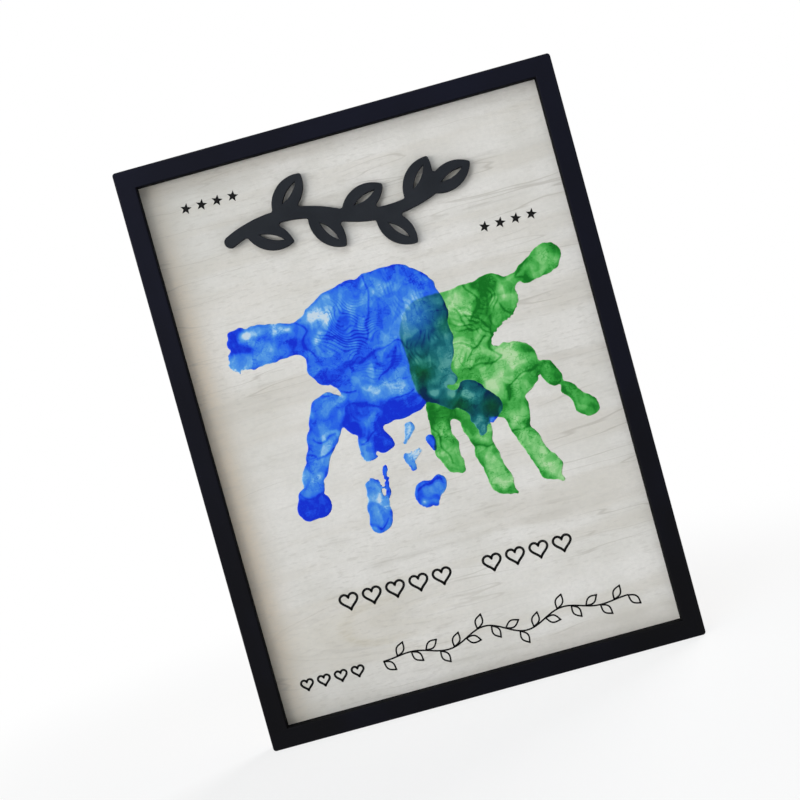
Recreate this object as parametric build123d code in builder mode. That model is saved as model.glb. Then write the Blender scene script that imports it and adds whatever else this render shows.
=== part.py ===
from build123d import *
from math import radians, sin
import os

# A framed wooden keepsake sign with two handprints, hung on a wall. Sizes are in millimetres.
# X runs along its width and Z up. The wall is the plane y = 0 behind it, so the front faces -Y.
# The origin is the hanger's middle notch, where the wall nail bears.

# Mitred moulding
FRAME_WIDTH = 228.6
FRAME_HEIGHT = 304.8
FRAME_DEPTH = 12.7
RAIL_FACE = 10.0
REBATE_WIDTH = 3.0
FRONT_EDGE_ROUND = 0.7
CORNER_ROUND = 1.6

# Corner nails, bent to a V and pressed across each mitre from behind
V_NAIL_LEG = 3.4
V_NAIL_GAUGE = 0.5
V_NAIL_HEIGHT = 6.0
V_NAIL_INSET = 2.0

# Plywood panel, which drops into the rebate from behind
PANEL_THICKNESS = 6.2
PANEL_SIDE_CLEARANCE = 0.5
PANEL_SLACK = 0.2

# Raised sprig, laser-cut from thin board: a stem of two opposite arcs, leaves and a leaf at its tip
SPRIG_THICKNESS = 3.0
SPRIG_CUT_ROUND = 1.2
SPRIG_DROP = 38.5
SPRIG_SHIFT = -12.0
STEM_WIDTH = 6.2
STEM_RADIUS = 64.0
STEM_SWEEP = 50.0
LEAF_COUNT = 6
LEAF_LENGTH = 26.0
LEAF_WIDTH = 13.6
LEAF_SPREAD = 43.0
TIP_LEAF_BURY = 5.0
VEIN_START = 8.0
VEIN_LENGTH = 13.0
VEIN_WIDTH = 2.6

# Handprints: each hangs down from the heel of the hand, whose place is across and up from the middle
PAINT_FILM = 0.25
PAINT_STEP = 0.6
PAINT_EDGE_MARGIN = 2.0
BLUE_LENGTH = 132.0
BLUE_HEEL = (5.0, 72.0)
GREEN_LENGTH = 110.0
GREEN_HEEL = (30.0, 52.0)

# Pads of a child's open hand: the paint covers the hull of each pad's discs. A disc is its place across
# and down from the heel and its radius, as shares of the length from the heel to the longest fingertip
BLUE_PADS = (
    # Palm
    (
        (0.0, 0.18, 0.186),
        (-0.01, 0.33, 0.197),
        (-0.20, 0.21, 0.189),
        (-0.235, 0.53, 0.083),
        (-0.04, 0.50, 0.068),
    ),
    # Thumb, then the fingers from first to little
    ((-0.37, 0.19, 0.068), (-0.59, 0.17, 0.087)),
    ((-0.34, 0.485, 0.076), (-0.50, 0.815, 0.061)),
    ((-0.205, 0.59, 0.064), (-0.27, 0.94, 0.054)),
    ((-0.05, 0.56, 0.049), (-0.05, 0.90, 0.061)),
    ((0.07, 0.515, 0.061), (0.25, 0.645, 0.064)),
)
GREEN_PADS = (
    # Palm and the mounds of thumb and first finger
    ((-0.035, 0.21, 0.20), (-0.035, 0.36, 0.20), (0.07, 0.165, 0.137), (0.135, 0.445, 0.118)),
    ((0.09, 0.13, 0.118), (0.225, 0.10, 0.112)),
    ((0.18, 0.42, 0.109), (0.245, 0.415, 0.109)),
    # Thumb, then the fingers from first to little
    ((0.335, 0.03, 0.028), (0.51, -0.025, 0.073)),
    ((0.335, 0.455, 0.05), (0.53, 0.695, 0.057)),
    ((0.19, 0.545, 0.082), (0.28, 0.93, 0.06)),
    ((0.0, 0.565, 0.082), (0.045, 0.935, 0.06)),
    ((-0.155, 0.51, 0.064), (-0.14, 0.805, 0.055)),
)

# Turn buttons, two on each stile, which hold the panel in from behind
BUTTON_SPACING = 160.0
BUTTON_REACH = 15.0
BUTTON_HEAD_RADIUS = 3.4
BUTTON_TAIL_RADIUS = 2.3
BUTTON_THICKNESS = 0.9
BUTTON_TIP = 5.0
BUTTON_TIP_LIFT = 0.7
BUTTON_PLAY = 0.1
BUTTON_BORE_CLEARANCE = 0.08

# Their screws
SCREW_RADIUS = 1.1
SCREW_HEAD_RADIUS = 2.3
SCREW_HEAD_HEIGHT = 1.2
SCREW_HEAD_RIM = 0.5
SCREW_CROWN_RADIUS = 1.6
SCREW_GRIP = 7.0
SCREW_POINT = 1.6
RECESS_LENGTH = 2.4
RECESS_WIDTH = 0.6
RECESS_DEPTH = 0.7
PILOT_CLEARANCE = 0.05

# Saw-tooth hanger on the back of the top rail, stood off between its two feet
HANGER_LENGTH = 32.0
HANGER_HEIGHT = 6.6
HANGER_GAUGE = 0.7
HANGER_RISE = 1.5
HANGER_FOOT = 7.0
HANGER_RAMP = 2.0
HANGER_CORNER_ROUND = 1.6
HANGER_EDGE_GAP = 0.3
TOOTH_COUNT = 7
TOOTH_PITCH = 2.0
TOOTH_DEPTH = 1.2
TOOTH_TIP = 0.3

# Its two nails
NAIL_RADIUS = 0.6
NAIL_HEAD_RADIUS = 1.5
NAIL_HEAD_HEIGHT = 0.5
NAIL_GRIP = 5.5
NAIL_POINT = 1.2

# Rubber bumpers, which keep the back of the moulding off the wall
BUMPER_HEIGHT = 3.0
BUMPER_RADIUS = 3.3
BUMPER_FACE_RADIUS = 2.3
BUMPER_INSET = 18.0

# Distances from the wall, and heights of the frame about the hanging point
BACK = BUMPER_HEIGHT
FRONT = BACK + FRAME_DEPTH
PANEL_BACK = BACK + PANEL_SLACK
PANEL_FACE = PANEL_BACK + PANEL_THICKNESS
TOP = HANGER_HEIGHT - TOOTH_DEPTH + HANGER_EDGE_GAP
MIDDLE = TOP - FRAME_HEIGHT / 2

# Spans that several pieces share
LAND_WIDTH = RAIL_FACE - REBATE_WIDTH
LIP_DEPTH = FRONT - PANEL_FACE
OPENING_WIDTH = FRAME_WIDTH - 2 * RAIL_FACE
OPENING_HEIGHT = FRAME_HEIGHT - 2 * RAIL_FACE
PANEL_MARGIN = REBATE_WIDTH - PANEL_SIDE_CLEARANCE
BUTTON_ACROSS = FRAME_WIDTH / 2 - LAND_WIDTH / 2
HANGER_NAIL_ACROSS = HANGER_LENGTH / 2 - HANGER_FOOT / 2
HANGER_NAIL_UP = HANGER_HEIGHT / 2 - TOOTH_DEPTH - MIDDLE
WALLWARD = Vector(0, 1, 0)


def facing_front(distance, across=0, up=0):
    """A plane that far from the wall, centred on the frame, with X right and Y up seen from the front."""
    return Plane((across, -distance, MIDDLE + up), x_dir=(1, 0, 0), z_dir=-WALLWARD)


def on_back(across, up, pointing=1):
    """A place on the back of the moulding, with Z out of the wood and X along the width."""
    return Plane((across, -BACK, MIDDLE + up), x_dir=(pointing, 0, 0), z_dir=WALLWARD).location


def save(builder, name):
    """Labels a finished piece and writes it."""
    builder.part.label = name
    export_step(builder.part, f"parts/{name}.step")


os.makedirs("parts", exist_ok=True)

# Corner nails: two legs from an apex near each outer corner, flush with the back
TOWARDS_MIDDLE = {-1: Align.MIN, 1: Align.MAX}
with BuildPart() as v_nails:
    with BuildSketch(facing_front(BACK)):
        for side in (-1, 1):
            for end in (-1, 1):
                apex = (side * (FRAME_WIDTH / 2 - V_NAIL_INSET), end * (FRAME_HEIGHT / 2 - V_NAIL_INSET))
                inwards = (TOWARDS_MIDDLE[side], TOWARDS_MIDDLE[end])
                with Locations(apex):
                    Rectangle(V_NAIL_LEG, V_NAIL_GAUGE, align=inwards)
                    Rectangle(V_NAIL_GAUGE, V_NAIL_LEG, align=inwards)
    extrude(amount=V_NAIL_HEIGHT)
save(v_nails, "corner_v_nails")

# Where the moulding is drilled from behind: radius and depth of each pilot hole, and its places
SCREW_PILOT = (SCREW_RADIUS + PILOT_CLEARANCE, SCREW_GRIP + PILOT_CLEARANCE)
NAIL_PILOT = (NAIL_RADIUS + PILOT_CLEARANCE, NAIL_GRIP + PILOT_CLEARANCE)
STILES = {"left": -1, "right": 1}
BUTTON_UPS = {"upper": BUTTON_SPACING / 2, "lower": -BUTTON_SPACING / 2}
hanger_nail_places = [on_back(side * HANGER_NAIL_ACROSS, HANGER_NAIL_UP) for side in STILES.values()]
screw_places = {
    side: [on_back(side * BUTTON_ACROSS, up) for up in BUTTON_UPS.values()] for side in STILES.values()
}


def runs_along(edge):
    """True for an edge along the moulding or round its corner, and false for one across a mitre."""
    middle = edge.tangent_at(0.5)
    return edge.geom_type == GeomType.CIRCLE or abs(abs(middle.X) - abs(middle.Z)) > 0.5


def mitred_rail(outward, pilot_places=(), pilot=None):
    """One side of the moulding, rebated, mitred at both ends and drilled from behind."""
    half_span = FRAME_WIDTH / 2 if outward.X else FRAME_HEIGHT / 2
    half_length = FRAME_HEIGHT / 2 if outward.X else FRAME_WIDTH / 2
    outer_edge = Vector(0, -FRONT, MIDDLE) + outward * half_span
    along = WALLWARD.cross(outward)
    with BuildPart() as rail:
        with BuildSketch(Plane(outer_edge, x_dir=-outward, z_dir=along)):
            with BuildLine():
                Polyline(
                    (0, 0),
                    (RAIL_FACE, 0),
                    (RAIL_FACE, LIP_DEPTH),
                    (LAND_WIDTH, LIP_DEPTH),
                    (LAND_WIDTH, FRAME_DEPTH),
                    (0, FRAME_DEPTH),
                    close=True,
                )
            make_face()
        extrude(amount=half_length, both=True)
        with BuildSketch(Plane(outer_edge, x_dir=along, z_dir=WALLWARD)):
            with BuildLine():
                right = CenterArc((half_length - CORNER_ROUND, CORNER_ROUND), CORNER_ROUND, -90, 45)
                left = CenterArc((CORNER_ROUND - half_length, CORNER_ROUND), CORNER_ROUND, -90, -45)
                Line(left @ 0, right @ 0)
                Polyline(
                    right @ 1,
                    (half_length - RAIL_FACE, RAIL_FACE),
                    (RAIL_FACE - half_length, RAIL_FACE),
                    left @ 1,
                )
            make_face()
        extrude(amount=FRAME_DEPTH, mode=Mode.INTERSECT)
        front = rail.faces().sort_by(Axis.Y)[0]
        fillet(front.edges().filter_by(runs_along), FRONT_EDGE_ROUND)
        add(v_nails.part, mode=Mode.SUBTRACT)
        if pilot_places:
            with Locations(*pilot_places):
                Hole(*pilot)
    return rail


save(mitred_rail(Vector(0, 0, 1), hanger_nail_places, NAIL_PILOT), "top_rail")
save(mitred_rail(Vector(0, 0, -1)), "bottom_rail")
for side_name, side in STILES.items():
    save(mitred_rail(Vector(side, 0, 0), screw_places[side], SCREW_PILOT), f"{side_name}_stile")

# Panel, held by its edges in the rebate
with BuildPart() as panel:
    with BuildSketch(facing_front(PANEL_BACK)):
        Rectangle(OPENING_WIDTH + 2 * PANEL_MARGIN, OPENING_HEIGHT + 2 * PANEL_MARGIN)
    extrude(amount=PANEL_THICKNESS)
save(panel, "print_panel")


def pointed_oval(length, width):
    """Two arcs that meet in a point at the origin and in another along X, as leaves and their veins do."""
    with BuildSketch() as oval:
        with BuildLine():
            ThreePointArc((0, 0), (length / 2, width / 2), (length, 0))
            ThreePointArc((length, 0), (length / 2, -width / 2), (0, 0))
        make_face()
    return oval.sketch


# The sprig's stem, a wave about the middle of its length
arc_chord = 2 * STEM_RADIUS * sin(radians(STEM_SWEEP / 2))
with BuildLine() as stem:
    crest = JernArc((-arc_chord, 0), Vector(1, 0).rotate(Axis.Z, STEM_SWEEP / 2), STEM_RADIUS, -STEM_SWEEP)
    JernArc(crest @ 1, crest % 1, STEM_RADIUS, STEM_SWEEP)
stem_wire = stem.wire()


def leaf_place(share, spread):
    """Where a leaf grows, by its share of the stem's length and its angle to the stem."""
    return Location(stem_wire @ share, (0, 0, stem_wire.tangent_angle_at(share) + spread))


# A leaf runs on from the stem's tip, and the rest stand on alternate sides
leaf_places = [leaf_place(1 - TIP_LEAF_BURY / stem_wire.length, 0)]
for count in range(LEAF_COUNT):
    spread = LEAF_SPREAD if count % 2 else -LEAF_SPREAD
    leaf_places.append(leaf_place((count + 0.5) / (LEAF_COUNT + 0.5), spread))

# Growing the outline, shrinking it twice as far and growing it back rounds its corners both ways
with BuildPart() as sprig:
    with BuildSketch(facing_front(PANEL_FACE, SPRIG_SHIFT, OPENING_HEIGHT / 2 - SPRIG_DROP)):
        with BuildLine():
            offset(stem_wire, amount=STEM_WIDTH / 2, mode=Mode.ADD)
        make_face()
        with Locations(*leaf_places):
            add(pointed_oval(LEAF_LENGTH, LEAF_WIDTH))
        for growth in (SPRIG_CUT_ROUND, -2 * SPRIG_CUT_ROUND, SPRIG_CUT_ROUND):
            offset(amount=growth, mode=Mode.REPLACE)
        with Locations(*leaf_places):
            with Locations((VEIN_START, 0)):
                add(pointed_oval(VEIN_LENGTH, VEIN_WIDTH), mode=Mode.SUBTRACT)
    extrude(amount=SPRIG_THICKNESS)
save(sprig, "raised_sprig")


def hand_outline(pads, length, margin=0):
    """An open hand with its heel at the origin and its fingers down, grown by a margin."""
    with BuildSketch() as hand:
        for discs in pads:
            rims = []
            for across, down, radius in discs:
                with Locations((across * length, -down * length)):
                    rims += Circle(radius * length + margin, mode=Mode.PRIVATE).edges()
            make_hull(rims)
    return hand.sketch


def paint_film(outline, heel, thickness):
    """An outline painted on the panel, kept clear of the moulding."""
    with BuildPart() as film:
        with BuildSketch(facing_front(PANEL_FACE, *heel)):
            add(outline)
        extrude(amount=thickness)
        with BuildSketch(facing_front(PANEL_FACE)):
            Rectangle(OPENING_WIDTH - 2 * PAINT_EDGE_MARGIN, OPENING_HEIGHT - 2 * PAINT_EDGE_MARGIN)
        extrude(amount=thickness, mode=Mode.INTERSECT)
    return film


# The green hand was printed first, so the blue film climbs over its edge where the two cross
blue_outline = hand_outline(BLUE_PADS, BLUE_LENGTH)
green_outline = hand_outline(GREEN_PADS, GREEN_LENGTH)
step_outline = hand_outline(GREEN_PADS, GREEN_LENGTH, PAINT_STEP)
green_print = paint_film(green_outline, GREEN_HEEL, PAINT_FILM)
green_step = paint_film(step_outline, GREEN_HEEL, 2 * PAINT_FILM)
blue_lower = paint_film(blue_outline, BLUE_HEEL, PAINT_FILM)
blue_upper = paint_film(blue_outline, BLUE_HEEL, 2 * PAINT_FILM)
with BuildPart() as blue_print:
    add(blue_upper.part)
    add(green_step.part, mode=Mode.INTERSECT)
    add(blue_lower.part)
    add(green_print.part, mode=Mode.SUBTRACT)
save(green_print, "green_handprint")
save(blue_print, "blue_handprint")

# One turn button lying along X, bored at the origin, its underside at z = 0 and its tip bent up
with BuildPart() as button:
    with BuildSketch():
        head = Circle(BUTTON_HEAD_RADIUS, mode=Mode.PRIVATE)
        with Locations((BUTTON_REACH, 0)):
            tail = Circle(BUTTON_TAIL_RADIUS, mode=Mode.PRIVATE)
        make_hull(head.edges() + tail.edges())
    extrude(amount=BUTTON_THICKNESS + BUTTON_TIP_LIFT)
    button_end = BUTTON_REACH + BUTTON_TAIL_RADIUS
    bend = button_end - BUTTON_TIP
    with BuildSketch(Plane.XZ):
        with BuildLine():
            Polyline(
                (-BUTTON_HEAD_RADIUS, 0),
                (bend, 0),
                (button_end, BUTTON_TIP_LIFT),
                (button_end, BUTTON_TIP_LIFT + BUTTON_THICKNESS),
                (bend, BUTTON_THICKNESS),
                (-BUTTON_HEAD_RADIUS, BUTTON_THICKNESS),
                close=True,
            )
        make_face()
    extrude(amount=BUTTON_HEAD_RADIUS, both=True, mode=Mode.INTERSECT)
    Hole(SCREW_RADIUS + BUTTON_BORE_CLEARANCE)

for side_name, side in STILES.items():
    for end_name, up in BUTTON_UPS.items():
        seat = on_back(side * BUTTON_ACROSS, up, -side) * Location((0, 0, BUTTON_PLAY))
        with BuildPart() as turn_button:
            with Locations(seat):
                add(button.part)
        save(turn_button, f"turn_button_{end_name}_{side_name}")

# One pan-head screw with a cross recess, z = 0 at the surface of the wood
screw_seat = BUTTON_THICKNESS + 2 * BUTTON_PLAY
screw_top = screw_seat + SCREW_HEAD_HEIGHT
with BuildPart() as screw:
    with BuildSketch(Plane.XZ):
        with BuildLine():
            Polyline(
                (0, screw_top),
                (SCREW_CROWN_RADIUS, screw_top),
                (SCREW_HEAD_RADIUS, screw_seat + SCREW_HEAD_RIM),
                (SCREW_HEAD_RADIUS, screw_seat),
                (SCREW_RADIUS, screw_seat),
                (SCREW_RADIUS, SCREW_POINT - SCREW_GRIP),
                (0, -SCREW_GRIP),
                close=True,
            )
        make_face()
    revolve(axis=Axis.Z)
    with BuildSketch(Plane.XY.offset(screw_top)):
        Rectangle(RECESS_LENGTH, RECESS_WIDTH)
        Rectangle(RECESS_WIDTH, RECESS_LENGTH)
    extrude(amount=-RECESS_DEPTH, mode=Mode.SUBTRACT)

with BuildPart() as button_screws:
    for places in screw_places.values():
        with Locations(*places):
            add(screw.part)
save(button_screws, "turn_button_screws")

# Hanger: a strip with its middle stood off the wood, and notches along its lower edge
raised_half = HANGER_LENGTH / 2 - HANGER_FOOT - HANGER_RAMP
raised_centre = HANGER_RISE + HANGER_GAUGE / 2
with BuildPart() as hanger:
    with BuildSketch(Plane((0, -BACK, TOP - HANGER_EDGE_GAP))):
        with BuildLine():
            Polyline(
                (-HANGER_LENGTH / 2, HANGER_GAUGE / 2),
                (HANGER_FOOT - HANGER_LENGTH / 2, HANGER_GAUGE / 2),
                (-raised_half, raised_centre),
                (raised_half, raised_centre),
                (HANGER_LENGTH / 2 - HANGER_FOOT, HANGER_GAUGE / 2),
                (HANGER_LENGTH / 2, HANGER_GAUGE / 2),
            )
        trace(line_width=HANGER_GAUGE)
    extrude(amount=-HANGER_HEIGHT)
    foot_corners = hanger.edges().filter_by(Axis.Y).group_by(Axis.X)
    fillet(foot_corners[0] + foot_corners[-1], HANGER_CORNER_ROUND)
    with BuildSketch(Plane.XZ):
        with GridLocations(TOOTH_PITCH, 0, TOOTH_COUNT, 1):
            with BuildLine():
                Polyline(
                    (0, 0),
                    ((TOOTH_TIP - TOOTH_PITCH) / 2, -TOOTH_DEPTH),
                    ((TOOTH_PITCH - TOOTH_TIP) / 2, -TOOTH_DEPTH),
                    close=True,
                )
            make_face()
    extrude(amount=BACK, mode=Mode.SUBTRACT)
    with Locations(*[place * Location((0, 0, HANGER_GAUGE)) for place in hanger_nail_places]):
        Hole(NAIL_PILOT[0], HANGER_GAUGE)
save(hanger, "sawtooth_hanger")

# One flat-headed nail, z = 0 at the surface of the wood and its head on the hanger's foot
nail_top = HANGER_GAUGE + NAIL_HEAD_HEIGHT
with BuildPart() as nail:
    with BuildSketch(Plane.XZ):
        with BuildLine():
            Polyline(
                (0, nail_top),
                (NAIL_HEAD_RADIUS, nail_top),
                (NAIL_HEAD_RADIUS, HANGER_GAUGE),
                (NAIL_RADIUS, HANGER_GAUGE),
                (NAIL_RADIUS, NAIL_POINT - NAIL_GRIP),
                (0, -NAIL_GRIP),
                close=True,
            )
        make_face()
    revolve(axis=Axis.Z)

with BuildPart() as hanger_nails:
    with Locations(*hanger_nail_places):
        add(nail.part)
save(hanger_nails, "hanger_nails")

# One bumper, a tapered foot stuck to the bottom rail
with BuildPart() as bumper:
    with BuildSketch(Plane.XZ):
        with BuildLine():
            Polyline(
                (0, 0),
                (BUMPER_RADIUS, 0),
                (BUMPER_FACE_RADIUS, BUMPER_HEIGHT),
                (0, BUMPER_HEIGHT),
                close=True,
            )
        make_face()
    revolve(axis=Axis.Z)

for side_name, side in STILES.items():
    with BuildPart() as placed_bumper:
        with Locations(on_back(side * (FRAME_WIDTH / 2 - BUMPER_INSET), LAND_WIDTH / 2 - FRAME_HEIGHT / 2)):
            add(bumper.part)
    save(placed_bumper, f"bumper_{side_name}")
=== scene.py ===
# %% [markdown]
# # A framed wooden keepsake with two handprints
# The real object is a small sign: a black mitred moulding, a pale whitewashed plywood panel set back in
# it, a raised black sprig cut from thin board, two handprints in poster paint and some small printing.
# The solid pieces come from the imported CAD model, which fixes every size. This lesson gives each of them
# a finish, and makes the pieces that a plain solid can't show: paint films, ink and softened edges.

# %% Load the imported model
from math import pi, radians

import bmesh
import bpy
import numpy as np
from mathutils import Matrix, Vector


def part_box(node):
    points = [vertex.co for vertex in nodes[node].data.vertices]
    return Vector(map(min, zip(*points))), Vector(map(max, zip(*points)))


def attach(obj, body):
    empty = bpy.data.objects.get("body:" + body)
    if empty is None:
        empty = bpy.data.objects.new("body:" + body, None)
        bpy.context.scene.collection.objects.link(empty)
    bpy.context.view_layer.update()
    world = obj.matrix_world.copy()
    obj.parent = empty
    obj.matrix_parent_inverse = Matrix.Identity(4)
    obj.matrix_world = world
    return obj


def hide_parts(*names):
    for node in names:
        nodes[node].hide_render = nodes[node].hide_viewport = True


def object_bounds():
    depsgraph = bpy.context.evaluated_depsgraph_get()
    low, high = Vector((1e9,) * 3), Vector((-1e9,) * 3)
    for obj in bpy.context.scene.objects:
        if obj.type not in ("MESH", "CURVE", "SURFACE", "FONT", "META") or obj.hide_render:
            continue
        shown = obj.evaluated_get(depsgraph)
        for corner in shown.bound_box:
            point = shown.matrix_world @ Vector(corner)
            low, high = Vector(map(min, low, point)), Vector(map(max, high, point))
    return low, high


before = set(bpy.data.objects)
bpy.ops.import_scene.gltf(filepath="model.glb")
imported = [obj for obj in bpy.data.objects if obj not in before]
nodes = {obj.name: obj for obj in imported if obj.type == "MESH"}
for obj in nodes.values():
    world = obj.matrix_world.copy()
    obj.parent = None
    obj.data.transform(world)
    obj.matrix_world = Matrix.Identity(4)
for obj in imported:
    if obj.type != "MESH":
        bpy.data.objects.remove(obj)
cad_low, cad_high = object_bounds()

scene = bpy.context.scene
PANEL_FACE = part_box("print_panel")[0].y
FRAME_MIDDLE = Vector((0, cad_low.y, (cad_low.z + cad_high.z) / 2))
print("pieces from the CAD model:", len(nodes), "panel face at y =", round(PANEL_FACE, 5))

# %% [markdown]
# ## Camera
# The photograph was taken from about 70 cm, nearly square on, with the camera rolled by some 15 degrees,
# so the sign leans to the left in the picture. The lens, the place and the roll were solved from the four
# outer corners of the moulding. Rolling the camera keeps the object upright in its own frame.

# %% Camera
MM = 0.001
EYE = FRAME_MIDDLE + Vector((3.2, -697.7, 26.4)) * MM
AIM = FRAME_MIDDLE + Vector((-4.4, 0.0, 4.0)) * MM
ROLL = radians(-15.42)
LENS = 62.06

camera_data = bpy.data.cameras.new("camera")
camera_data.lens = LENS
camera = bpy.data.objects.new("camera", camera_data)
scene.collection.objects.link(camera)
facing = (AIM - EYE).to_track_quat("-Z", "Y").to_matrix().to_4x4()
camera.matrix_world = Matrix.Translation(EYE) @ facing @ Matrix.Rotation(ROLL, 4, "Z")
scene.camera = camera
scene.view_settings.view_transform = "Standard"
print("camera", round((AIM - EYE).length, 3), "m from the front of the frame")

# %% [markdown]
# ## Shader sums as plain expressions
# Node trees get long when every sum is a node that is linked by hand. `Signal` wraps one output of a
# node, so that `1 - mask * 0.5` adds the Math nodes by itself. Its `make` adds any other node: settings
# first, then the values or links of the sockets. The same class serves materials and geometry trees.


# %% Signal
class Signal:
    """One output of a node in a tree, or the bare tree when it has no socket."""

    def __init__(self, tree, socket=None):
        self.tree = tree
        self.socket = socket

    def make(self, kind, settings=None, inputs=None, output=0):
        node = self.tree.nodes.new(kind)
        for name, value in (settings or {}).items():
            if name == "stops":
                ramp = node.color_ramp.elements
                while len(ramp) < len(value):
                    ramp.new(1.0)
                for stop, (position, colour) in zip(ramp, value):
                    stop.position = position
                    stop.color = colour
            else:
                setattr(node, name, value)
        for key, value in (inputs or {}).items():
            self.feed(node.inputs[key], value)
        return Signal(self.tree, node.outputs[output])

    def feed(self, socket, value):
        if isinstance(value, Signal):
            self.tree.links.new(value.socket, socket)
        else:
            socket.default_value = value

    def math(self, operation, *others):
        return self.make("ShaderNodeMath", {"operation": operation}, dict(enumerate((self, *others))))

    def __add__(self, other):
        return self.math("ADD", other)

    def __mul__(self, other):
        return self.math("MULTIPLY", other)

    def __sub__(self, other):
        return self.math("SUBTRACT", other)

    def __truediv__(self, other):
        return self.math("DIVIDE", other)

    def __rsub__(self, other):
        return self.make("ShaderNodeMath", {"operation": "SUBTRACT"}, {0: other, 1: self})

    __radd__ = __add__
    __rmul__ = __mul__

    def smooth(self, low, high, start=0.0, end=1.0):
        """Rises smoothly from start to end while this runs from low to high."""
        return self.make(
            "ShaderNodeMapRange",
            {"interpolation_type": "SMOOTHSTEP"},
            {"Value": self, "From Min": low, "From Max": high, "To Min": start, "To Max": end},
        )

    def vector(self, x=0.0, y=0.0, z=0.0):
        return self.make("ShaderNodeCombineXYZ", inputs={0: x, 1: y, 2: z})

    def ramp(self, *stops):
        return self.make("ShaderNodeValToRGB", {"stops": stops}, {0: self})


# %% Colours
def srgb(red, green, blue):
    """A colour as a picture program gives it, 0 to 255, in the linear values that shaders take."""
    parts = [value / 255 for value in (red, green, blue)]
    return tuple(v / 12.92 if v <= 0.04045 else ((v + 0.055) / 1.055) ** 2.4 for v in parts) + (1.0,)


def mix_colours(share, first, second):
    """From the first colour to the second by the share."""
    return share.make("ShaderNodeMix", {"data_type": "RGBA"}, {0: share, 6: first, 7: second}, output=2)


print("middle grey in linear light:", round(srgb(128, 128, 128)[0], 3))

# %% [markdown]
# Every finish here starts alike: a Principled shader, object coordinates split into X, Y and Z, and noise
# that can be stretched along one axis, as wood grain is. `Finish` holds these parts, and its `show` links
# what varies over the surface. What is the same all over is set on the shader's own sockets.


# %% Parts of a finish
class Finish:
    """A material with the parts that every finish here uses."""

    def __init__(self, name, **constants):
        self.material = bpy.data.materials.new(name)
        self.material.use_nodes = True
        self.shader = self.material.node_tree.nodes["Principled BSDF"]
        self.tree = Signal(self.material.node_tree)
        for socket, value in constants.items():
            self.shader.inputs[socket.replace("_", " ")].default_value = value
        self.place = self.tree.make("ShaderNodeTexCoord", output=3)
        self.x, self.y, self.z = (
            self.tree.make("ShaderNodeSeparateXYZ", inputs={0: self.place}, output=axis) for axis in range(3)
        )

    def noise(self, scales, detail=2.0, roughness=0.5, shift=(0, 0, 0), vector=None):
        """Noise with its own scale along each axis, in waves to a metre."""
        mapped = self.tree.make(
            "ShaderNodeMapping", inputs={0: vector or self.place, "Scale": scales, "Location": shift}
        )
        return self.tree.make(
            "ShaderNodeTexNoise", inputs={0: mapped, "Scale": 1.0, "Detail": detail, "Roughness": roughness}
        )

    def attribute(self, name):
        return self.tree.make("ShaderNodeAttribute", {"attribute_name": name}, output=2)

    def show(self, colour=None, roughness=None, height=None, depth=0.0001, strength=0.3):
        """Links what varies: a colour, a roughness and a height for the bump, whose depth is in metres."""
        if colour:
            self.tree.feed(self.shader.inputs["Base Color"], colour)
        if roughness:
            self.tree.feed(self.shader.inputs["Roughness"], roughness)
        if height:
            bump = self.tree.make(
                "ShaderNodeBump", inputs={"Height": height, "Distance": depth, "Strength": strength}
            )
            self.tree.feed(self.shader.inputs["Normal"], bump)
        return self.material


def dress(node_names, material):
    """Gives carried-over CAD pieces their finish."""
    for name in node_names:
        nodes[name].data.materials.clear()
        nodes[name].data.materials.append(material)
    print(material.name, "on", len(node_names), "pieces")


# %% [markdown]
# ## Black moulding
# The moulding is soft wood, sprayed satin black before the panel went in. The paint shows a little of the
# grain underneath and is rubbed thin along the outer edge. Painted light is in its colour too: a painted
# sheen makes it lighter and bluer upwards, and painted shade makes it near-black on the inner wall. The
# back is bare, with a fine line at each mitre and some overspray round the rim. A picture could be wrapped
# on it, but object coordinates put grain, wear and overspray where the wood is, so one rule serves rails
# and stiles: only the direction of the grain differs.

# %% Moulding finish
HALF_WIDTH = cad_high.x
HALF_HEIGHT = (cad_high.z - cad_low.z) / 2
BACK_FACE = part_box("top_rail")[1].y
RAIL_FACE = cad_high.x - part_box("right_stile")[0].x


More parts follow.
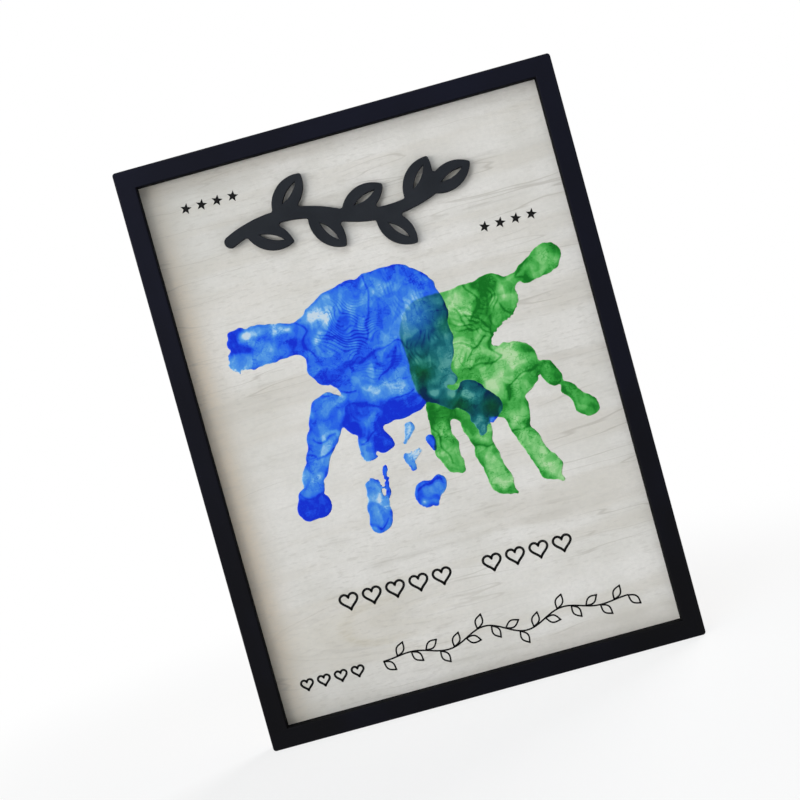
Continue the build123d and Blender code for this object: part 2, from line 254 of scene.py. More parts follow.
def moulding_finish(name, along):
    """Satin black paint over wood with its grain along X or Z."""
    finish = Finish(name, Specular_IOR_Level=0.08)
    fine = (26, 900, 900) if along == "x" else (900, 900, 26)
    broad = (9, 160, 160) if along == "x" else (160, 160, 9)
    grain = finish.noise(broad, detail=4.0)
    fibre = finish.noise(fine, detail=3.0)
    cloud = finish.noise((22, 22, 22), detail=3.0)
    speck = finish.noise((2600, 2600, 2600), detail=1.0)
    # Painted sheen: the paint is made lighter and bluer towards the top, standing in for the sheen that the
    # upper rails catch from the light above
    upward = finish.z.smooth(cad_low.z, cad_high.z)
    tone_and_painted_sheen = upward * 0.6 + cloud.smooth(0.3, 0.7) * 0.3 + grain * 0.1
    paint = mix_colours(tone_and_painted_sheen, srgb(2, 2, 4), srgb(13, 15, 29))

    inside = finish.x.math("ABSOLUTE") - HALF_WIDTH
    upright = (finish.z - FRAME_MIDDLE.z).math("ABSOLUTE") - HALF_HEIGHT
    rim = inside.math("MAXIMUM", upright)
    rubbed = rim.smooth(-0.9 * MM, -0.1 * MM) * (finish.y - cad_low.y).smooth(0.2 * MM, 1.6 * MM, 1.0, 0.0)
    rubbed = rubbed * finish.noise((90, 90, 90), detail=4.0, shift=(3, 5, 2)).smooth(0.44, 0.62)
    paint = mix_colours(rubbed * 0.4, paint, srgb(66, 64, 64))
    # Painted shade: the inner wall is made near-black, where the moulding lies in its own shade; the same
    # mask also makes that wall rougher
    inner_wall_painted_shade = rim.smooth(-RAIL_FACE, -RAIL_FACE + 0.5 * MM, 1.0, 0.0)
    paint = mix_colours(inner_wall_painted_shade * 0.8, paint, srgb(0, 0, 1))

    bare_wood = mix_colours(grain * 0.6 + fibre * 0.4, srgb(166, 124, 80), srgb(216, 181, 138))
    mitre = (inside - upright).math("ABSOLUTE").smooth(0.10 * MM, 0.40 * MM, 1.0, 0.0)
    bare_wood = mix_colours(mitre * 0.7, bare_wood, srgb(84, 60, 38))
    dust = finish.noise((330, 330, 330), detail=4.0) * (2.4 * MM) + speck * (1.6 * MM)
    overspray = rim + dust
    bare = (finish.y + fibre * (0.4 * MM)).smooth(BACK_FACE - 0.5 * MM, BACK_FACE)
    bare = bare * overspray.smooth(0.0 * MM, 1.6 * MM, 1.0, 0.15)
    colour = mix_colours(bare, paint, bare_wood)
    height = fibre * 0.5 + grain * 0.3 + speck * 0.2
    roughness = 0.40 + fibre * 0.12 + bare * 0.30 + inner_wall_painted_shade * 0.45
    return finish.show(colour, roughness, height, depth=0.08 * MM, strength=0.35)


dress(["top_rail", "bottom_rail"], moulding_finish("black_rail_paint", "x"))
dress(["left_stile", "right_stile"], moulding_finish("black_stile_paint", "z"))

# %% [markdown]
# ## Whitewashed plywood
# The panel is birch plywood under a thin white wash: pale, a little grey, with faint grain that wavers
# and closes in one arch low on the left. Painted shade, darker and warm, lies along the left edge beside
# the rail and in the left corners.
# The arch is where the saw met the growth rings at a slant, so the shader does as the tree did: the
# distance from a slanting core gives rings, and noise over that distance gives lines of uneven width. An
# ellipse of broken dashes closes the arch. The back is the same plywood, bare.

# %% Panel finish
APEX = Vector((-63.0, 0.0, -250.0)) * MM
CORE_DEPTH = 9.0 * MM
CORE_SLOPE = 0.16
ARCH_LENGTH = 30 * MM
ARCH_HEIGHT = 11 * MM
LEFT_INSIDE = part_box("left_stile")[1].x


def panel_finish():
    finish = Finish("whitewashed_plywood", Specular_IOR_Level=0.2)
    tree = finish.tree
    waver = finish.noise((10, 0, 20), detail=2.0) - 0.5
    ripple = finish.noise((42, 0, 60), detail=2.0, shift=(2, 0, 7)) - 0.5
    depth = (CORE_DEPTH - (finish.x - APEX.x) * CORE_SLOPE).math("MAXIMUM", 0.0) + waver * (5 * MM)
    height = finish.z - APEX.z + waver * (7 * MM) + ripple * (1.6 * MM)
    rings = (depth * depth + height * height).math("SQRT")
    along = tree.vector(finish.x, finish.y, rings)

    bands = finish.noise((5, 0, 150), detail=1.0, vector=along, shift=(0, 0, 4))
    lines = finish.noise((24, 0, 560), detail=2.0, vector=along, shift=(3, 0, 5))
    swell = finish.noise((6, 0, 95), detail=2.0, roughness=0.4, vector=along, shift=(5, 0, 2))
    fibre = finish.noise((60, 0, 1900), detail=2.0)
    dashes = finish.noise((150, 0, 700), detail=3.0, roughness=0.6, shift=(4, 0, 6))
    lumps = finish.noise((420, 0, 560), detail=4.0, roughness=0.7, shift=(6, 0, 3))
    pores = finish.noise((150, 0, 3300), detail=1.0, shift=(8, 0, 2))
    cloud = finish.noise((24, 0, 36), detail=4.0, roughness=0.6, shift=(1.5, 0, 4.0))
    wash = finish.noise((9, 0, 12), detail=3.0, shift=(9, 0, 1))
    core_reach = (depth * depth * 0.3 + height * height).math("SQRT")
    core_tint = core_reach.smooth(3 * MM, 24 * MM, 1.0, 0.0)
    core_tint = core_tint * finish.x.smooth(APEX.x, APEX.x + 90 * MM, 1.0, 0.2)
    # Painted shade: beside the left rail the panel is made darker and warmer, standing in for the rail's soft
    # shadow and warm bounce light there
    from_left = finish.x - LEFT_INSIDE
    left_edge_painted_shade = (from_left + cloud * (6 * MM)).smooth(4 * MM, 27 * MM, 1.0, 0.0)
    left_edge_painted_shade = left_edge_painted_shade * from_left.smooth(0.0, 8 * MM)
    left_edge_painted_warm_shade = from_left.smooth(3 * MM, 14 * MM, 1.0, 0.0)
    # Painted shade: the upper and lower left corners of the panel are made greyer, standing in for the shade
    # that gathers there
    far_up = (finish.z - FRAME_MIDDLE.z + 15 * MM).math("ABSOLUTE").smooth(70 * MM, 150 * MM)
    corners = far_up * finish.x.smooth(-100 * MM, -20 * MM, 1.0, 0.0)

    contour = (finish.noise((7, 0, 90), detail=2.0, vector=along, shift=(1, 0, 9)) - 0.5).math("ABSOLUTE")
    broken = finish.noise((16, 0, 30), shift=(7, 0, 7)).smooth(0.44, 0.62)
    seams = contour.smooth(0.0, 0.012, 1.0, 0.0) * broken * (1.0 - core_tint)
    across = (finish.x - APEX.x - ARCH_LENGTH) / ARCH_LENGTH
    upward = (height + ripple * (4 * MM)) / ARCH_HEIGHT
    from_arch = ((across * across + upward * upward).math("SQRT") - 1.0).math("ABSOLUTE")
    arch = from_arch.smooth(0.0, 0.24, 1.0, 0.0) * finish.x.smooth(APEX.x, APEX.x + 45 * MM, 1.0, 0.0)
    arch = arch * cloud.smooth(0.34, 0.62, 0.3, 1.0)
    arch = arch * dashes.smooth(0.40, 0.58, 0.45, 1.0)
    grain = bands.smooth(0.54, 0.74) * 0.40 + lines.smooth(0.55, 0.76) * 0.60
    grain = grain * cloud.smooth(0.36, 0.60, 0.15, 1.0) * wash.smooth(0.28, 0.66, 0.30, 1.0)
    strokes = dashes.smooth(0.52, 0.66) * wash.smooth(0.34, 0.62, 0.15, 1.0)
    pale = mix_colours(cloud.smooth(0.30, 0.70), srgb(224, 222, 218), srgb(212, 210, 204))
    pale = mix_colours(core_tint * bands.smooth(0.40, 0.62) * 0.30, pale, srgb(196, 188, 166))
    pale = mix_colours(arch * 0.55, pale, srgb(186, 176, 150))
    pale = mix_colours(left_edge_painted_shade * 0.60, pale, srgb(192, 179, 158))
    pale = mix_colours(left_edge_painted_warm_shade * 0.85, pale, srgb(214, 200, 180))
    pale = mix_colours(corners * 0.60, pale, srgb(186, 186, 180))
    pale = mix_colours(swell.smooth(0.46, 0.66) * 0.32, pale, srgb(197, 191, 179))
    washed = mix_colours(grain * 0.55, pale, srgb(170, 166, 158))
    washed = mix_colours(seams * 0.42, washed, srgb(156, 150, 140))
    washed = mix_colours(strokes * 0.30, washed, srgb(178, 174, 166))
    washed = mix_colours(pores.smooth(0.66, 0.80) * 0.14, washed, srgb(158, 150, 138))
    washed = mix_colours(lumps.smooth(0.34, 0.66) * 0.22, washed, srgb(192, 191, 187))

    figure = bands.smooth(0.30, 0.70) * 0.40 + fibre * 0.45 + 0.08
    bare = mix_colours(figure, srgb(188, 153, 108), srgb(228, 204, 167))
    bare = mix_colours(grain * 0.35 + strokes * 0.30, bare, srgb(160, 121, 79))
    bare = mix_colours(seams * 0.50, bare, srgb(142, 104, 66))
    bare = mix_colours(pores.smooth(0.64, 0.78) * 0.5, bare, srgb(140, 106, 70))
    behind = finish.y.smooth(PANEL_FACE + 1 * MM, PANEL_FACE + 2 * MM)
    colour = mix_colours(behind, washed, bare)
    relief = lumps * 0.6 + fibre * 0.2 + dashes * 0.2 - (grain * 0.3 + seams * 0.3)
    roughness = 0.62 + fibre * 0.14
    return finish.show(colour, roughness, relief, depth=0.25 * MM, strength=0.7)


dress(["print_panel"], panel_finish())

# %% [markdown]
# ## Fittings behind
# Turn buttons, their screws and the corner nails are zinc-plated steel, which has a faint spangle. The
# saw-tooth hanger and its nails are brassed. The bumpers are grey rubber. These are tiny, so noise on
# object coordinates carries the whole finish.


# %% Fittings finish
def metal_finish(name, dull, bright, spangle):
    finish = Finish(name, Metallic=1.0)
    grains = finish.tree.make(
        "ShaderNodeTexVoronoi", {"feature": "F1"}, {0: finish.place, "Scale": spangle}, output=1
    )
    tone = finish.tree.make("ShaderNodeSeparateColor", inputs={0: grains})
    smear = finish.noise((420, 420, 420), detail=3.0)
    scratch = finish.noise((3000, 300, 300), detail=2.0)
    colour = mix_colours(tone * 0.45 + smear * 0.55, dull, bright)
    roughness = 0.26 + smear * 0.2 + tone * 0.08
    return finish.show(colour, roughness, scratch * 0.6 + smear * 0.4, depth=0.04 * MM, strength=0.25)


def rubber_finish():
    finish = Finish("bumper_rubber", Specular_IOR_Level=0.3)
    bloom = finish.noise((500, 500, 500), detail=4.0)
    pits = finish.noise((3800, 3800, 3800), detail=1.0)
    colour = mix_colours(bloom.smooth(0.35, 0.75), srgb(46, 46, 48), srgb(74, 74, 76))
    return finish.show(colour, 0.55 + bloom * 0.25, pits, depth=0.06 * MM, strength=0.3)


buttons = [name for name in nodes if name.startswith("turn_button_")]
ZINC = metal_finish("zinc_plate", srgb(150, 152, 156), srgb(196, 199, 204), spangle=900)
BRASS = metal_finish("brassed_steel", srgb(172, 136, 76), srgb(216, 184, 116), spangle=1400)
dress(buttons + ["corner_v_nails"], ZINC)
dress(["sawtooth_hanger", "hanger_nails"], BRASS)
dress(["bumper_left", "bumper_right"], rubber_finish())

# %% [markdown]
# ## Raised sprig
# The sprig is cut by a laser from thin board, painted black and glued on. Paint softens the cut edge,
# which then catches a line of light that a sharp CAD edge can't. A flat curve with a bevel gives that
# edge all the way round, holes included, so the outline is read from the CAD piece itself, face by face,
# and made a curve.

# %% Sprig mesh
SPRIG_BEVEL = 0.35 * MM
sprig_low, sprig_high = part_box("raised_sprig")


def rim_loops(node):
    """The closed loops of points round the front face of a CAD piece."""
    shape = bmesh.new()
    shape.from_mesh(node.data)
    bmesh.ops.remove_doubles(shape, verts=shape.verts, dist=0.002 * MM)
    front = [face for face in shape.faces if face.normal.y < -0.99]
    in_front = set(front)
    following = {}
    for face in front:
        for loop in face.loops:
            if not all(other in in_front for other in loop.edge.link_faces):
                following[loop.vert] = loop.link_loop_next.vert
    loops = []
    while following:
        start, point = following.popitem()
        points = [start.co.copy()]
        while point is not start:
            points.append(point.co.copy())
            point = following.pop(point)
        loops.append(points)
    shape.free()
    return loops


def cut_board(name, loops, low, high, bevel):
    """A board cut along the loops, from the plane y = high to y = low, with softened edges."""
    flat = bpy.data.curves.new(name, "CURVE")
    flat.dimensions = "2D"
    flat.fill_mode = "BOTH"
    flat.extrude = (high - low) / 2 - bevel
    flat.bevel_depth = bevel
    flat.bevel_resolution = 2
    flat.offset = -bevel
    for points in loops:
        spline = flat.splines.new("POLY")
        spline.points.add(len(points) - 1)
        spline.points.foreach_set("co", [v for p in points for v in (p.x, p.z, 0.0, 1.0)])
        spline.use_cyclic_u = True
    drawn = bpy.data.objects.new(name + "_curve", flat)
    scene.collection.objects.link(drawn)
    bpy.context.view_layer.update()
    mesh = bpy.data.meshes.new_from_object(drawn.evaluated_get(bpy.context.evaluated_depsgraph_get()))
    bpy.data.objects.remove(drawn)
    mesh.transform(Matrix.Translation((0, (low + high) / 2, 0)) @ Matrix.Rotation(pi / 2, 4, "X"))
    shape = bmesh.new()
    shape.from_mesh(mesh)
    bmesh.ops.remove_doubles(shape, verts=shape.verts, dist=0.001 * MM)
    bmesh.ops.recalc_face_normals(shape, faces=shape.faces)
    shape.to_mesh(mesh)
    shape.free()
    return mesh


def add_piece(name, mesh, material, replaced=None):
    """A finished mesh as a piece that rides on the moulding's body."""
    mesh.materials.clear()
    mesh.materials.append(material)
    piece = bpy.data.objects.new(name, mesh)
    scene.collection.objects.link(piece)
    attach(piece, "frame")
    if replaced:
        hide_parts(replaced)
    low = np.array(piece.bound_box).min(0) / MM
    high = np.array(piece.bound_box).max(0) / MM
    print(name, len(mesh.polygons), "faces, mm", low.round(2), high.round(2))


sprig_mesh = cut_board("sprig", rim_loops(nodes["raised_sprig"]), sprig_low.y, sprig_high.y, SPRIG_BEVEL)

# %% [markdown]
# The face and the cut wall differ: the face is sprayed an even charcoal, and the wall is blacker where
# the laser charred it, with fine lines through its thickness. A face attribute tells them apart, so
# nothing depends on where the camera stands.

# %% Sprig finish
sprig_normals = np.zeros(len(sprig_mesh.polygons) * 3)
sprig_mesh.polygons.foreach_get("normal", sprig_normals)
wall_share = 1.0 - np.clip(-sprig_normals.reshape(-1, 3)[:, 1], 0.0, 1.0)
sprig_mesh.attributes.new("cut_wall", "FLOAT", "FACE").data.foreach_set("value", wall_share)


def sprig_finish():
    finish = Finish("charcoal_board_paint", Specular_IOR_Level=0.08)
    wall = finish.attribute("cut_wall").smooth(0.75, 0.98)
    cloud = finish.noise((45, 45, 45), detail=3.0)
    spray = finish.noise((1900, 1900, 1900), detail=2.0)
    laser = finish.noise((2400, 60, 2400), detail=1.0)
    face = mix_colours(cloud.smooth(0.3, 0.7), srgb(31, 34, 39), srgb(38, 41, 46))
    face = mix_colours(spray.smooth(0.62, 0.75) * 0.3, face, srgb(52, 55, 59))
    burnt = mix_colours(laser.smooth(0.35, 0.7), srgb(9, 9, 9), srgb(20, 19, 18))
    colour = mix_colours(wall, face, burnt)
    height = spray + (laser - spray) * wall
    return finish.show(colour, 0.52 + cloud * 0.12 + wall * 0.2, height, depth=0.05 * MM, strength=0.3)


for polygon in sprig_mesh.polygons:
    polygon.use_smooth = False
add_piece("painted_sprig", sprig_mesh, sprig_finish(), "raised_sprig")

# %% [markdown]
# ## Handprints
# A handprint is not a glove shape. Each pad of the hand presses its paint thin and pushes it out to the
# rim, joints print narrow or not at all, and creases of the palm hold more paint. So each print is a list
# of pads, and a pad is a tapered line with a load of paint. Some touch nothing else, as the tips of two
# fingers here. Places are in millimetres across and up from the middle of the panel, within the outline
# of the CAD hands.

# %% Pads of the hands
# Each pad: both ends, the radius at each and how much paint it left, from 0 to 1
BLUE_PALM = (
    (-20, 44, 5, 47.5, 24.5, 24.5, 0.52),
    (4, 40, 4, 28, 26, 26, 0.50),
    (-36, 31, -22, 30, 10, 20, 0.66),
    (-14, 22, -4, 14, 20, 15, 0.50),
    (-27, 1, 0, 3, 9.5, 7.5, 0.98),
    (-42, 48, -54, 46, 9, 6.5, 0.80),
)
BLUE_FINGERS = (
    (-48, 53.5, -60, 56, 2.8, 3.4, 0.55),
    (-60, 56.5, -73, 56.5, 3.6, 3.6, 0.22),
    (-73.5, 58.9, -77.6, 57.9, 2.0, 2.6, 1.20),
    (-78.2, 57.4, -79.2, 54, 2.7, 2.5, 1.25),
    (-79.2, 54, -77.6, 50.6, 2.5, 2.5, 1.25),
    (-77.6, 50.6, -70.5, 47, 2.5, 2.8, 1.20),
    (-73, 52, -65, 51, 2.6, 2.8, 0.40),
    (-77.5, 44.5, -61, 45.5, 6.0, 6.4, 0.46),
    (-41, 8, -48, -5, 9.5, 8.0, 0.55),
    (-50, -9, -58, -24, 6.6, 5.8, 0.46),
    (-64, -37.5, -58.5, -37.5, 6.4, 6.6, 1.08),
    (-65, -31, -57.5, -28.5, 3.2, 4.6, 0.62),
    (-23, -7, -18.2, -15.6, 6.5, 5.2, 1.00),
    (-28, -12, -28.4, -20.2, 3.0, 2.8, 0.34),
    (-25, -14, -25.4, -20.6, 2.6, 2.3, 0.52),
    (-29.5, -35.8, -29.8, -39.0, 4.6, 4.8, 0.44),
    (-29.2, -45.6, -30.4, -53.4, 6.0, 6.3, 0.46),
    (-21.3, -27.6, -22.9, -39.6, 1.1, 1.1, 0.62),
    (-23, -40.2, -23.2, -42.4, 1.3, 1.3, 1.10),
    (-3.2, -11, -7.4, -17.6, 2.7, 1.4, 0.34),
    (-7, -26.2, -1.8, -23.8, 3.0, 2.0, 0.12),
    (-7.4, -27, -6.8, -31.4, 2.7, 1.2, 0.22),
    (4.9, -19.4, 6.0, -25, 2.2, 1.5, 0.66),
    (-3.8, -45.4, -3.4, -46.8, 6.6, 6.6, 0.50),
    (3.2, -42.4, 3.4, -43.4, 4.4, 4.4, 0.60),
    (-1, -50, -0.2, -52.4, 2.4, 1.0, 0.60),
    (14, 9, 23, 7.4, 5.0, 3.8, 0.46),
    (10, 6, 21, -3, 6.0, 4.8, 0.80),
    (22, -2, 30, -3, 3.4, 5.0, 0.55),
    (31, -4, 38, -12, 8.5, 7.4, 0.82),
    (32, -16, 32.4, -22.4, 4.6, 2.4, 0.34),
)
GREEN_PALM = (
    (26, 28, 26, 12, 22, 22, 0.52),
    (18, 38, 40, 40, 12, 11, 0.40),
    (38, 34, 54.5, 41, 15, 13, 0.66),
    (28, -4, 45, 0, 10, 11, 0.46),
    (56, 7, 58.5, 7, 11, 10.5, 0.40),
    (55, -5, 62, -2, 6.4, 5.4, 0.62),
)
GREEN_FINGERS = (
    (61, 45.5, 70, 49.2, 4.8, 2.2, 0.66),
    (75.4, 49.4, 87, 54.3, 5.9, 7.5, 0.56),
    (64, 1.5, 71, 0, 2.8, 3.0, 0.80),
    (71.5, -1, 75, -6, 4.6, 4.4, 0.74),
    (76, -7, 83, -17, 1.8, 2.4, 0.70),
    (79.5, -13, 83.5, -18.5, 3.4, 3.4, 0.74),
    (86, -23, 88.3, -25.5, 5.4, 5.2, 0.66),
    (48, -8, 51, -16, 8.0, 7.2, 0.56),
    (51, -16, 51, -22, 7.2, 6.8, 0.60),
    (51, -24, 55, -36, 4.6, 4.6, 0.44),
    (54, -33, 61, -50, 4.9, 6.2, 0.37),
    (30, -12, 30, -24, 8.0, 6.6, 0.56),
    (30, -24, 31.5, -36, 4.8, 4.6, 0.44),
    (31, -33, 35, -51, 4.9, 6.2, 0.42),
    (13, -4, 12, -16, 6.4, 4.6, 0.70),
    (12.5, -14, 12, -26, 4.6, 5.4, 0.48),
    (12, -26, 13.4, -34, 6.2, 5.2, 0.54),
    (15, -36, 16.8, -39.4, 3.8, 2.4, 0.50),
    (17, -8, 26, -9, 4.8, 5.4, 0.92),
    (36, -10, 44, -11, 7.0, 7.0, 0.60),
    (63, -54.5, 65.4, -57, 2.2, 1.0, 0.50),
    (39, -55.5, 41, -57.5, 1.4, 0.8, 0.55),
)
print("pads:", len(BLUE_PALM + BLUE_FINGERS), "blue and", len(GREEN_PALM + GREEN_FINGERS), "green")

# %% Spots, creases and skin lines
# Each spot: its place, its radius and how much thicker or thinner the paint lies
BLUE_SPOTS = (
    (-36, 55, 6, -0.48), (-31, 54.5, 4, -0.36), (-38, 45, 5, -0.26), (-17, 12, 7, -0.19),
    (-2, 12, 6, -0.08), (-20, 40, 13, 0.26), (-36, 28, 9, 0.02), (-22, -2, 4, -0.40), (19, 64, 8, 0.24),
    (-25, 62, 9, 0.06), (8, 42, 9, -0.12), (-43, -3, 4, -0.12), (-56, -21, 4, -0.20),
    (17.5, 2.6, 2.6, -0.80), (21.5, 3, 2.6, -0.90), (29.4, -3.2, 2.8, -0.90), (33, -3, 4, -0.40),
    (31, -18, 4, -0.3), (14, 16, 6, -0.18), (26, 34, 5, -0.22), (8, 6, 4, 0.26),
    (39, -18.6, 2.6, -0.60), (-52, 54, 4, -0.20), (-54, 57, 3, -0.60), (8, 4, 6, 0.30),
    (-45, 38, 3, -0.40), (24, 14, 5, -0.20), (-44, 8, 5, 0.24), (20, 30, 6, 0.20), (15, 45, 6, 0.14),
    (22, -4, 4, 0.12), (-9, 64, 2.5, -0.26), (-62, -31, 3, -0.20), (40, -11, 5, 0.20),
    (-6, 24, 6, 0.22), (-72, 55, 3, -0.14), (-5.5, -50.5, 2.6, -0.55), (-82, 43, 3, -0.24),
    (-70, 39.5, 3, -0.20), (-30, -41.2, 1.6, -0.34), (-10, 28, 4, 0.18), (-35, 46, 4, -0.14),
    (-28, 40, 4, 0.12), (-74, 46.5, 3.5, 0.50), (-64, 46, 4, 0.14), (-56, -26, 3.5, -0.20),
    (3, -43, 3, 0.12), (-18, -16, 4, 0.16), (-28, -2, 4, -0.30),
)
GREEN_SPOTS = (
    (35, 46, 7, -0.26), (46, 0, 6, -0.44), (56, 10, 6, -0.36), (53, 48, 8, 0.20), (61, 41, 4, -0.30),
    (84, 55, 5, -0.10), (66, 11, 4, 0.40), (66, 1, 4, 0.34), (49, -9, 4, 0.40), (26.5, -28, 3.5, 0.48),
    (9, -8, 5, 0.24), (57, -27, 3, 0.30), (15, -34, 3, 0.26), (37, -56, 3, 0.22), (41, 34, 6, -0.08),
    (38, 15, 6, -0.04), (8, 12, 6, 0.34), (51, -20, 4, -0.50), (90, -25, 3, 0.14), (33, 24, 5, -0.14),
    (33, -45, 4, 0.12), (13, 46, 12, -0.46), (92, 55, 3, 0.26), (40, 21, 6, -0.38), (57, -8, 4, -0.28),
    (74, -5, 3, 0.10), (50, -8, 3, 0.50), (51, -4, 2.5, 0.45), (25.5, -24, 4, 0.45), (91, 58, 4, 0.34),
    (80, 52, 4, -0.10), (74, 45.6, 1.9, 0.36), (79, 45, 2.4, 0.42), (85, 46.6, 2.6, 0.36),
    (73, 53.4, 1.8, 0.26), (79, 57, 2.2, 0.28), (77, 50.4, 3, -0.22), (84, 52, 4, 0.16),
    (60, 47, 3.5, -0.30), (36, 16, 4, 0.20), (53, -18, 4, -0.20), (54, -34, 5, -0.18),
    (12, -10, 4, 0.30), (12, -24, 4, -0.20), (14, -36, 3, -0.18), (36, -50, 4, -0.14),
    (58.5, -55, 3, 0.28), (65, -52, 2.4, 0.22), (60, -48, 4, -0.12),
)
BLUE_CREASES = (
    ((-6, 71), (-6, 60), (-9, 48), (-14, 37)),
    ((-24, 28), (-13, 30), (-4, 33), (8, 28)),
    ((-12, 17), (-4, 21), (-1, 28)),
    ((-46, 57), (-42, 50), (-44, 42), (-40, 36)),
    ((-36, -4), (-31, 6), (-22, 8), (-16, 1), (-15, -8)),
    ((-13, 4), (-5, 5), (3, 9)),
    ((-48, 16), (-36, 17), (-26, 15)),
    ((-53, -3), (-47, -7), (-41, -4)),
    ((-58, -12), (-52, -15), (-47, -12)),
    ((-66, -30), (-59, -33), (-53, -30)),
    ((-35, -53), (-31, -56), (-26, -53)),
    ((-30, -12), (-24, -10), (-18, -9), (-14, -10)),
    ((-8, -44), (-3, -41), (4, -43)),
)
GREEN_CREASES = (
    ((44, 51), (47, 42), (43, 33), (50, 24)),
    ((18, 27), (30, 24), (40, 20)),
    ((34, 10), (44, 8), (52, 12)),
    ((33, 40), (37, 33), (43, 27)),
    ((37, 38), (42, 33), (50, 27)),
    ((52, 46), (47, 40)),
    ((55, 43), (50, 36)),
    ((36, 14), (38, 20), (45, 21)),
    ((50, 25), (47, 18), (52, 12)),
    ((49, -11), (52, -4), (58, -1), (67, 3)),
    ((69, 48.6), (74, 46), (84, 47)),
    ((69, 49.5), (73, 53.6), (80, 58.2)),
    ((44, -26), (50, -29), (57, -28)),
    ((24, -28), (30, -31), (36, -29)),
    ((70, -8), (75, -10), (78, -8)),
    ((57, 36), (61, 33)),
    ((9, -13), (10, -24), (13, -35)),
)
# Each patch of skin lines: place, reach, strength, the place that its lines run round, and their pitch
BLUE_LINES = (
    (-21, 45, 15, 1.0, -9, 67, 1.75),
    (10, 56, 15, 0.32, 84, 74, 2.3),
    (-8, 19, 12, 0.50, -14, -38, 2.2),
    (14, 30, 12, 0.60, 80, 20, 2.6),
)
GREEN_LINES = (
    (43, 33, 11, 0.85, 20, 6, 3.0),
    (57, 41, 7, 0.70, 96, 36, 2.6),
    (38, 14, 10, 0.55, 10, 44, 2.8),
    (14, -22, 12, 0.35, 60, -20, 3.2),
)
print("spots:", len(BLUE_SPOTS), "blue and", len(GREEN_SPOTS), "green")

# %% The two hands
# Each ragged patch: where the paint ran dry and its edge broke up, and how far that reaches
BLUE_HAND = {
    "palm": BLUE_PALM,
    "fingers": BLUE_FINGERS,
    "spots": BLUE_SPOTS,
    "creases": BLUE_CREASES,
    "lines": BLUE_LINES,
    "ragged": (
        (-80, 41, 8),
        (-29, -21, 5),
        (-5, -50, 5),
        (-30, -34, 4),
        (-22, -32, 6),
        (-5, -25, 6),
        (35, -19, 5),
    ),
    "seed": 11,
}
# Where the green is faint, the blue over it stays blue. Where it is strong, the two turn dark green.
GREEN_HAND = {
    "palm": GREEN_PALM,
    "fingers": GREEN_FINGERS,
    "spots": GREEN_SPOTS,
    "creases": GREEN_CREASES,
    "lines": GREEN_LINES,
    "ragged": ((52, 27, 6), (64, 33, 8)),
    "faint": (12, 45, 11),
    "strong": ((10, 15, 8), (40, -12, 6), (24, -7, 7), (27, 35, 5)),
    "seed": 4,
}
print("ragged patches:", len(BLUE_HAND["ragged"]), "blue and", len(GREEN_HAND["ragged"]), "green")

# %% [markdown]
# The outline comes from distances. The nearest pad gives the distance to the edge, and where two pads
# meet the two distances are blended, so that a palm swells out of its pads but fingers keep their narrow
# joints. The load of paint is blended too, by how deep a point lies in each pad. Sums of waves stand in
# for chance, and short ones fray the edge where the paint ran dry.

# %% Outline and thickness
GRID_STEP = 0.5
PALM_SOFTNESS = 6.0
FINGER_SOFTNESS = 2.2
PAD_BLEND = 1.1
CREASE_WIDTH = 0.55
RIM_WIDTH = 1.3


def waves(points, size, seed, count=28):
    """Smooth noise about 0, as a sum of waves of about one size in every direction."""
    draw = np.random.default_rng(seed)
    angles = draw.uniform(0, 2 * pi, count)
    pitch = 2 * pi / (size * draw.uniform(0.7, 1.5, count))
    phases = draw.uniform(0, 2 * pi, count)
    total = np.zeros(len(points))
    for angle, number, phase in zip(angles, pitch, phases):
        total += np.sin((points @ (np.cos(angle), np.sin(angle))) * number + phase)
    return total / np.sqrt(count / 2)


def along_line(points, start, end):
    """The share along a line and the distance from it."""
    start, end = np.array(start), np.array(end)
    axis = end - start
    share = np.clip((points - start) @ axis / (axis @ axis), 0, 1)
    return share, np.linalg.norm(points - (start + share[:, None] * axis), axis=1)


def from_place(points, place):
    return np.linalg.norm(points - np.array(place), axis=1)


def join(first, second, soft):
    """The nearer of two distances, rounded where they meet."""
    share = np.clip(0.5 + 0.5 * (second - first) / soft, 0, 1)
    return second * (1 - share) + first * share - soft * share * (1 - share)


def fade(distance, reach, power=2):
    """From 1 at no distance towards 0 past the reach."""
    return np.exp(-((distance / reach) ** power))


def rise(values, low, high):
    share = np.clip((values - low) / (high - low), 0, 1)
    return share * share * (3 - 2 * share)


